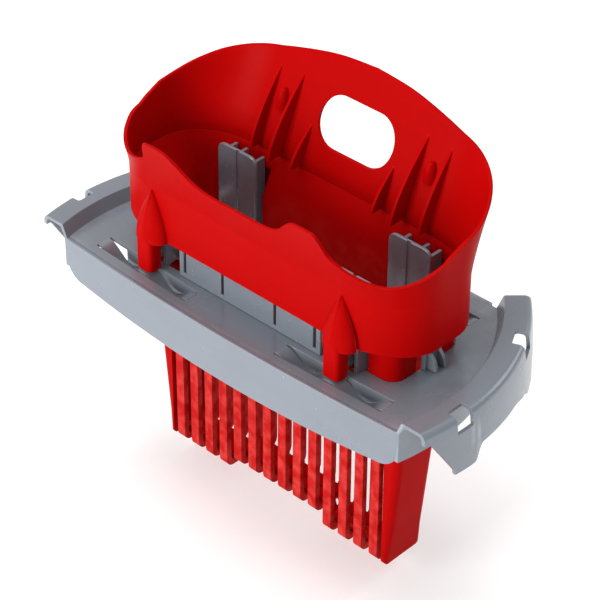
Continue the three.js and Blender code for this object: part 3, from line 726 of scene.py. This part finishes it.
    def _flange_cutter(self, line: Sequence[Point], low: float) -> bmesh.types.BMesh:
        """A block outside the crest that trims the flange to a smooth lower edge.

        Args:
            line: the lower edge, as pairs of angle and height.
            low: the block's underside.

        Returns:
            The block.
        """
        inner, outer = self.crest_outer - 8, self.crest_outer + 14
        steps = 90
        rings = []
        for i in range(steps + 1):
            angle = lerp(line[0][0], line[-1][0], i / steps)
            k = max(j for j in range(len(line) - 1) if line[j][0] <= angle + 1e-6)
            (a0, z0), (a1, z1) = line[k], line[k + 1]
            top = lerp(z0, z1, smoothstep((angle - a0) / (a1 - a0)))
            turn = math.radians(angle)
            ring = [(inner, low), (outer, low), (outer, top), (inner, top)]
            rings.append([(r * math.cos(turn), self.rim_centre_y + r * math.sin(turn), z)
                          for r, z in ring])
        return Moulder.loft(rings)

    def _window(self, middle: float) -> bmesh.types.BMesh:
        """A window block over the outer fold of the crest, turned to its place along the rim."""
        half, corner = 6.2, 1.5
        inner, outer = self.crest_outer - 5.5, self.crest_outer + 12
        plan = without_repeats([
            *arc((inner + corner, half - corner), corner, 90, 180, 4),
            *arc((inner + corner, -half + corner), corner, 180, 270, 4), (outer, -half), (outer, half),
        ])
        block = Moulder.outline(plan, "Z", -8.4, 12)
        bmesh.ops.rotate(block, verts=block.verts, matrix=Matrix.Rotation(math.radians(middle), 3, "Z"))
        bmesh.ops.translate(block, verts=block.verts, vec=(0, self.rim_centre_y, 0))
        return block

    def leaf_spring(self, side: Side, place: Place) -> None:
        """A waved leaf in two halves, each a piece attached to no body."""
        slot = self.slot(place)
        middle = (slot["x0"] + slot["x1"]) / 2
        for part, outer_x in (("inner", slot["x0"]), ("outer", slot["x1"])):
            steps = 40
            rings = []
            for i in range(steps + 1):
                x = lerp(outer_x, middle, i / steps)
                rings.append(self._leaf_ring(slot, x))
            half = Moulder.loft(rings)
            Moulder.mirror(half, side)
            name = f"{place.name.lower()}_{side.name.lower()}_leaf_spring"
            nodes = [name] if part == "inner" else []
            piece = Moulder.finish(f"{name}_{part}_half", half, GREY, None, nodes)
            self._bend(piece, side, slot, outer_x, middle)

    @staticmethod
    def _bend(piece: bpy.types.Object, side: Side, slot: dict[str, float], outer_x: float,
              middle: float) -> None:
        """Bakes half a leaf's placement into its mesh, leaving it on no body."""
        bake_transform(piece)

    def _leaf_ring(self, slot: dict[str, float], x: float) -> list[Point3]:
        """The thin cross-section of a leaf at an X."""
        t = (x - slot["x0"]) / (slot["x1"] - slot["x0"])
        y = lerp(slot["y0"], slot["y1"], t)
        half = slot["width"] / 2 - 1.2
        dip = self.leaf_wave * (1 - math.cos(4 * math.pi * t)) / 2
        top = self.floor_top - 0.05 - dip
        low = top - self.leaf_thick
        soft = 0.3
        return [
            (x, y - half, low + soft), (x, y - half, top - soft), (x, y - half + soft, top),
            (x, y + half - soft, top), (x, y + half, top - soft), (x, y + half, low + soft),
            (x, y + half - soft, low), (x, y - half + soft, low),
        ]


# --- Press unit ---


@dataclass
class Funnel:
    """The red funnel with its throat, guide ribs, lugs and feet."""

    wall: float = 2.2
    floor_top: float = -6.2
    skirt_bottom: float = 14.0
    knee: float = 46.4
    rim_top: float = 114.8
    half_x: float = 115.4
    front: float = 40.3
    rear: float = 41.0
    slot_clearance: float = 0.6  # keeps a pressed foot off the inner edge of its slot
    leg_half: float = 6.3
    leg_reach: float = 8.4
    spindle_half: float = 11.7
    spindle_reach: float = 9.0
    spindle_height: float = 32.5
    foot_fillet: float = 3.2
    window_half: float = 28.0
    window_radius: float = 15.0
    window_height: float = 82.0
    corner_x: float = 46.0
    corner_y: float = 32.5
    flare_reach: float = 30.0
    flare_power: float = 1.15
    flare_front: float = 0.86
    flare_side: float = 0.22
    columns: int = 360

    def build(self) -> None:
        """Makes the funnel and what is moulded to it."""
        self.shell()
        for side in Side:
            for place in Place:
                self.foot(side, place)
            for place, fins in ((Place.REAR, ((65, 97, 31), (47.4, 98, 27), (31.6, 75, 29))),
                                (Place.FRONT, ((65, 84, 31), (47.4, 80, 27)))):
                for number, fin in enumerate(fins, 1):
                    self.rib(side, place, number, *fin)
            self.lug(side)
        Moulder.soften("throat_collar", 0.5, RED, Body.PRESS, smooth=35)

    def rim_line(self, count: int) -> list[Point]:
        """The rim's height above the floor, against the place along half the plan.

        The place runs 0 to 1 along the front wall, 1 to 2 round the front corner, 2 to 3 along the
        end, 3 to 4 round the rear corner and 4 to 5 along the rear wall.

        Args:
            count: how many steps the line has.

        Returns:
            Pairs of place and height.
        """
        knots = [
            (0, 75.2), (0.18, 75), (0.3, 75.4), (0.4, 77), (0.49, 80.8), (0.57, 86.3), (0.65, 91.6),
            (0.72, 94), (0.85, 94.3), (0.93, 93.4), (0.97, 88), (1.01, 80), (1.08, 75.5), (1.17, 72),
            (1.29, 69), (1.42, 67.6), (1.55, 68.6), (1.72, 71.8), (1.9, 75.8), (2.22, 79.3),
            (2.68, 82.6), (3, 84.8), (3.22, 87.5), (3.46, 92.8), (3.64, 97.6), (3.85, 102.6),
            (4.07, 107), (4.37, 111.8), (4.65, 115), (5, 116.6),
        ]
        line = []
        for i in range(count + 1):
            at = i / count * (len(knots) - 1)
            k = min(int(at), len(knots) - 2)
            around = [knots[max(0, min(j, len(knots) - 1))] for j in (k - 1, k, k + 1, k + 2)]
            line.append(tuple(self._catmull(at - k, *[p[axis] for p in around]) for axis in (0, 1)))
        return line

    @staticmethod
    def _catmull(t: float, a: float, b: float, c: float, d: float) -> float:
        """A Catmull-Rom value between b and c."""
        v0, v1 = (c - a) / 2, (d - b) / 2
        return (2 * b - 2 * c + v0 + v1) * t ** 3 + (-3 * b + 3 * c - 2 * v0 - v1) * t ** 2 + v0 * t + b

    def flare_at(self, z: float) -> float:
        """How far the rear wall leans out at a height."""
        rise = max(0.0, (z - self.knee) / (self.rim_top - self.knee))
        return self.flare_reach * rise ** self.flare_power

    def plan(self, s: float, flare: float, inset: float) -> Point:
        """A point of the round-cornered plan at place s, grown by a flare and drawn in by an inset."""
        s = min(max(s, 0.0), 4.9999)
        part = int(s)
        t = s - part
        turn = t * math.pi / 2
        straight = self.half_x - self.corner_x
        rx, ry = self.corner_x - inset, self.corner_y - inset
        blend = smoothstep(t)
        if part == 0:
            return t * straight, -(self.front - inset) - flare * self.flare_front
        if part == 1:
            grow = flare * lerp(self.flare_front, self.flare_side, blend)
            return (straight + (rx + grow) * math.sin(turn),
                    -(self.front - self.corner_y) - (ry + grow) * math.cos(turn))
        if part == 2:
            y = lerp(-(self.front - self.corner_y), self.rear - self.corner_y, t)
            return self.half_x - inset + flare * self.flare_side, y
        if part == 3:
            grow = flare * lerp(self.flare_side, 1.0, blend)
            return (straight + (rx + grow) * math.cos(turn),
                    self.rear - self.corner_y + (ry + grow) * math.sin(turn))
        return (1 - t) * straight, self.rear - inset + flare

    def shell(self) -> None:
        """The funnel's wall, with a round lip and a plain window."""
        line = self.rim_line(self.columns // 2)
        whole = [(s, h, -1) for s, h in reversed(line)] + [(s, h, 1) for s, h in line[1:-1]]
        levels = 14
        section: list[tuple[float, float, float]] = [(0.5, 0, 0), (0.0, 0, 0.02), (0.0, 0, 0.5)]
        section += [(0.0, 1, i / levels) for i in range(levels)]
        lip = [(0.0, 0.988), (0.35, 0.997), (1.1, 1.0), (1.85, 0.997), (2.2, 0.988)]
        section += [(inset, 1, rise) for inset, rise in lip]
        section += [(self.wall, 1, i / levels) for i in reversed(range(levels))]
        section += [(self.wall, 0, 0.5), (self.wall, 0, 0.02), (self.wall - 0.5, 0, 0)]
        rings = [[self._place(s, h, sign, *row) for s, h, sign in whole] for row in section]
        shell = Moulder.loft(rings, cyclic=True)
        shell = Moulder.combine(shell, [self._window_cutter()], "DIFFERENCE")
        Moulder.round_edges(shell, 0.5, 2, 60, self._is_window_edge)
        Moulder.finish("funnel_shell", shell, RED, Body.PRESS, ["funnel"], smooth=50)

    def _is_window_edge(self, edge: bmesh.types.BMEdge) -> bool:
        """Whether an edge runs round the rear wall's window."""
        middle = (edge.verts[0].co + edge.verts[1].co) / 2
        return middle.y > 40 and abs(middle.x) < 45 and middle.z < 105

    def _place(self, s: float, height: float, sign: int, inset: float, above: float,
               rise: float) -> Point3:
        """A point of the shell's section at one place along the plan."""
        rim = self.floor_top + height
        z = lerp(self.knee, rim, rise) if above else lerp(self.skirt_bottom, self.knee, rise)
        x, y = self.plan(s, self.flare_at(z), inset)
        return sign * x, y, z

    def _window_cutter(self) -> bmesh.types.BMesh:
        """The plain rounded slot through the rear wall."""
        half, radius, z = self.window_half, self.window_radius, self.floor_top + self.window_height
        plan = arc((half - radius, z), radius, -90, 90, 24)
        plan += arc((radius - half, z), radius, 90, 270, 24)
        return Moulder.outline(plan, "Y", 30, 110)

    def foot(self, side: Side, place: Place) -> None:
        """A foot: a leg through the slot under a pointed half spindle on the skirt."""
        x, wall_y = (73.3, self.front) if place is Place.FRONT else (57.8, self.rear)
        half, reach, around = self.leg_half, self.leg_reach, 28
        leg = []
        for z, shrink in ((self.floor_top + 0.3, 0.9), (self.floor_top + 0.7, 0.3),
                          (self.floor_top + 1.4, 0.0)):
            leg.append(self._half_round(half - shrink, reach - shrink, z, around, 0.4, 0.4))
        spindle = []
        rows = 30
        for i in range(rows + 1):
            t = i / rows
            z = self.skirt_bottom + self.spindle_height * t
            swell = max(1 - t ** 1.7, 0.004)
            boxy = lerp(0.4, 1.1, min(1.0, t * 4))
            leg.append(self._half_round(half * swell, reach * swell ** 0.85, z, around, boxy, boxy))
            spindle.append(self._half_round(self.spindle_half * swell, self.spindle_reach * swell ** 0.85,
                                            z, around, 1.25, 0.95))
        fillet = []
        for i in range(9):
            t = i / 8
            wide = half - 0.05 + self.foot_fillet * (1 - math.sqrt(max(0.0, 1 - t * t)))
            z = self.skirt_bottom - self.foot_fillet * (1 - t) + 0.4
            fillet.append(self._half_round(wide, self.spindle_reach - 0.8, z, around, 0.6 + 0.5 * t, 0.55))
        shank = Moulder.loft(leg)
        bmesh.ops.translate(shank, verts=shank.verts, vec=(0, self.slot_clearance, 0))
        foot = Moulder.combine(Moulder.loft(spindle), [shank, Moulder.loft(fillet)], "UNION")
        bmesh.ops.translate(foot, verts=foot.verts, vec=(x, wall_y - 0.1, 0))
        Moulder.mirror(foot, side, place)
        name = f"{place.name.lower()}_{side.name.lower()}_foot"
        Moulder.finish(f"{name}_moulding", foot, RED, Body.PRESS, [name], smooth=50)

    @staticmethod
    def _half_round(half: float, reach: float, z: float, around: int, width_power: float,
                    reach_power: float) -> list[Point3]:
        """Half of a rounded section against the wall, bulging outwards.

        Args:
            half: half its width at the wall.
            reach: how far it stands out.
            z: its height.
            around: how many steps it has.
            width_power: how soon it narrows away from the wall.
            reach_power: how flat its face is.

        Returns:
            The section's points.
        """
        ring = []
        for i in range(around + 1):
            turn = math.pi * i / around
            c, s = math.cos(turn), math.sin(turn)
            ring.append((half * math.copysign(abs(c) ** width_power, c), reach * abs(s) ** reach_power, z))
        return ring

    def rib(self, side: Side, place: Place, number: int, x: float, apex: float, free: float) -> None:
        """A guide rib: a fin whose free edge sweeps from the wall down into the throat."""
        lean, base = (1.0, self.rear) if place is Place.REAR else (self.flare_front, self.front)
        top, bottom = self.floor_top + apex, self.knee - 1
        steps = 28
        heights = [lerp(bottom, top, i / steps) for i in range(steps + 1)]
        on_wall = [(base - self.wall + self.flare_at(z) * lean, z) for z in heights]
        edge = []
        for i in reversed(range(steps)):
            t = i / steps
            edge.append((lerp(free, on_wall[-1][0], t ** 1.5), heights[i]))
        fin = Moulder.outline([*on_wall, *edge], "X", x - 1, x + 1)
        Moulder.round_edges(fin, 0.3, 2, 50)
        Moulder.mirror(fin, side, place)
        name = f"{place.name.lower()}_{side.name.lower()}_wall_rib_{number}"
        Moulder.finish(f"{name}_moulding", fin, RED, Body.PRESS, [name])

    def lug(self, side: Side) -> None:
        """A retaining lug: half a bullet with a flat underside."""
        bottom = self.floor_top + 75
        bullet = bmesh.new()
        steps = 14
        radius, length = 4.4, 12.8
        line = [(radius * math.sqrt(1 - (i / steps) ** 2.2), 0, length * i / steps) for i in range(steps)]
        corners = [bullet.verts.new(place) for place in [(0, 0, 0), *line, (0, 0, length)]]
        for pair in zip(corners, corners[1:]):
            bullet.edges.new(pair)
        bmesh.ops.spin(bullet, geom=list(bullet.verts) + list(bullet.edges), cent=(0, 0, 0), axis=(0, 0, 1),
                       angle=2 * math.pi, steps=32, use_merge=True, use_duplicate=False)
        bmesh.ops.remove_doubles(bullet, verts=bullet.verts, dist=0.001)
        bmesh.ops.recalc_face_normals(bullet, faces=bullet.faces)
        y = self.rear - self.wall + self.flare_at(bottom + 6)
        bmesh.ops.translate(bullet, verts=bullet.verts, vec=(56.4, y, bottom))
        heights = [bottom - 5 + 4 * i for i in range(6)]
        wall = [(self.rear - self.wall + self.flare_at(z), z) for z in heights]
        room = Moulder.outline([(20, heights[0]), *wall, (20, heights[-1])], "X", 48, 65)
        bullet = Moulder.combine(bullet, [room], "INTERSECT")
        Moulder.round_edges(bullet, 0.35, 2, 50)
        Moulder.mirror(bullet, side)
        name = f"{side.name.lower()}_retaining_lug"
        Moulder.finish(f"{name}_moulding", bullet, RED, Body.PRESS, [name])


@dataclass
class Basket:
    """The slotted red basket under the throat."""

    top: float = -10.2
    band_height: float = 8.0
    bottom: float = -156.0
    raised: float = 8.0
    throat_y: float = 28.3
    foot_y: float = 15.8
    pitch: float = 12.35
    rib_width: float = 6.3
    rib_depth: float = 3.8
    rib_count: int = 14

    def build(self) -> None:
        """Makes the band, the ribs, the end walls and the bottom plate."""
        Moulder.soften("basket_band", 0.5, RED, Body.PRESS)
        for number in range(self.rib_count):
            self.rib(number)
        for side in Side:
            self.end_wall(side)
        Moulder.soften("basket_floor", 0.2, RED, Body.PRESS, segments=1)

    def half_depth(self, z: float) -> float:
        """Half the basket's depth at a height."""
        top = self.top - self.band_height
        level = min(max((top - z) / (top - self.bottom), 0.0), 1.0)
        return lerp(self.foot_y, self.throat_y - 0.4, (1 - level) ** 6)

    def rib(self, number: int) -> None:
        """A U-shaped rib with rounded long edges."""
        x = (number - (self.rib_count - 1) / 2) * self.pitch
        low_z = self.bottom + (self.raised if abs(x) < 32 else 0)
        top = self.top - self.band_height
        corner, hollow = 6.0, 2.5
        steps = 16
        heights = [lerp(top, low_z + corner, (i / steps) ** 1.6) for i in range(steps + 1)]
        outside = [(self.half_depth(z), z) for z in heights]
        low = outside[-1][0]
        inside = [(y - self.rib_depth, z) for y, z in outside]
        floor = low_z + self.rib_depth
        outside += arc((low - corner, low_z + corner), corner, 0, -90, 8)
        inside += arc((low - self.rib_depth - hollow, floor + hollow), hollow, 0, -90, 5)
        half = [*reversed(inside), *outside]
        outline = [*half, *[(-y, z) for y, z in reversed(half)]]
        rib = Moulder.outline(without_repeats(outline), "X", x - self.rib_width / 2, x + self.rib_width / 2)
        Moulder.round_edges(rib, 0.8, 3, 50)
        name = f"basket_rib_{number + 1:02d}"
        Moulder.finish(f"{name}_moulding", rib, RED, Body.PRESS, [name])

    def end_wall(self, side: Side) -> None:
        """An end wall with soft edges."""
        name = f"basket_{side.name.lower()}_end"
        wall = Moulder.copy_of(name)
        corner, half = 6.0, self.foot_y + 0.4
        right = [(40, 0), (40, -90), (half, -112), *arc((half - corner, self.bottom + corner), corner,
                                                        0, -90, 8)]
        mask = [*right, *[(-y, z) for y, z in reversed(right)]]
        wall = Moulder.combine(wall, [Moulder.outline(mask, "X", -120, 120)], "INTERSECT")
        Moulder.round_edges(wall, 0.5, 2, 50)
        Moulder.finish(f"{name}_moulding", wall, RED, Body.PRESS, [name])



# --- Studio ---


@dataclass
class Studio:
    """The pale floor, the soft lights and the camera."""

    camera_place: Point3 = (756.8, -802.5, 791.3)
    azimuth: float = 43.12714
    elevation: float = 36.17884
    roll: float = 0.591825
    lens: float = 142.236
    sensor: float = 36.0
    floor_z: float = -170.8

    def build(self) -> None:
        """Sets the whole stage."""
        self.camera()
        self.floor()
        self.world()
        self.lights()
        bpy.context.scene.view_settings.view_transform = "Standard"

    def camera(self) -> None:
        """The camera, turned by its azimuth, elevation and roll."""
        az, el, roll = (math.radians(a) for a in (self.azimuth, self.elevation, self.roll))
        back = Vector((math.sin(az) * math.cos(el), -math.cos(az) * math.cos(el), math.sin(el)))
        right = Vector((math.cos(az), math.sin(az), 0))
        up = back.cross(right)
        across = right * math.cos(roll) + up * math.sin(roll)
        above = up * math.cos(roll) - right * math.sin(roll)
        data = bpy.data.cameras.new("camera")
        data.lens = self.lens
        data.sensor_width = self.sensor
        data.clip_end = 20
        camera = bpy.data.objects.new("camera", data)
        turn = Matrix((across, above, back)).transposed().to_4x4()
        camera.matrix_world = Matrix.Translation(Vector(self.camera_place) * MM) @ turn
        bpy.context.scene.collection.objects.link(camera)
        bpy.context.scene.camera = camera

    def floor(self) -> None:
        """The pale floor, wide enough to fill the view."""
        made = bmesh.new()
        bmesh.ops.create_grid(made, x_segments=1, y_segments=1, size=6)
        bmesh.ops.translate(made, verts=made.verts, vec=(0, 0, self.floor_z * MM))
        mesh = bpy.data.meshes.new("studio_floor")
        made.to_mesh(mesh)
        made.free()
        material = bpy.data.materials.new("pale_floor")
        net = Net(material)
        tone = net.mix_colour(net.ramp(net.noise(3), (0.3, 0.0), (0.7, 1.0)), (0.90, 0.90, 0.90),
                              (0.93, 0.93, 0.93))
        shader = net.node("BsdfPrincipled", inputs={
            "Base Color": tone, "Roughness": 0.8, "Emission Color": tone, "Emission Strength": 0.15})
        net.node("OutputMaterial", inputs={"Surface": shader})
        mesh.materials.append(material)
        floor = bpy.data.objects.new("studio_floor", mesh)
        bpy.context.scene.collection.objects.link(floor)

    def world(self) -> None:
        """An even white surround."""
        world = bpy.data.worlds.new("studio")
        world.use_nodes = True
        world.node_tree.nodes["Background"].inputs["Color"].default_value = (1, 1, 1, 1)
        world.node_tree.nodes["Background"].inputs["Strength"].default_value = 0.62
        bpy.context.scene.world = world

    def lights(self) -> None:
        """A low key at the front left, a broad top light and a weak light from behind."""
        self._area("key", (-0.4, -1.75, 0.5), 0.9, 29.0)
        self._area("top", (-0.2, 0.0, 1.6), 1.4, 17.0)
        self._area("behind", (0.5, 1.4, 0.9), 0.8, 4.0)

    @staticmethod
    def _area(name: str, place: Point3, size: float, watts: float) -> None:
        """A square area light that faces the object."""
        data = bpy.data.lights.new(name, "AREA")
        data.size = size
        data.energy = watts
        light = bpy.data.objects.new(name, data)
        light.location = place
        light.rotation_euler = Vector(place).to_track_quat("Z", "Y").to_euler()
        bpy.context.scene.collection.objects.link(light)


def main() -> None:
    """Builds the stage and every piece."""
    Studio().build()
    Tray().build()
    Funnel().build()
    Basket().build()


if __name__ == "__main__":
    main()
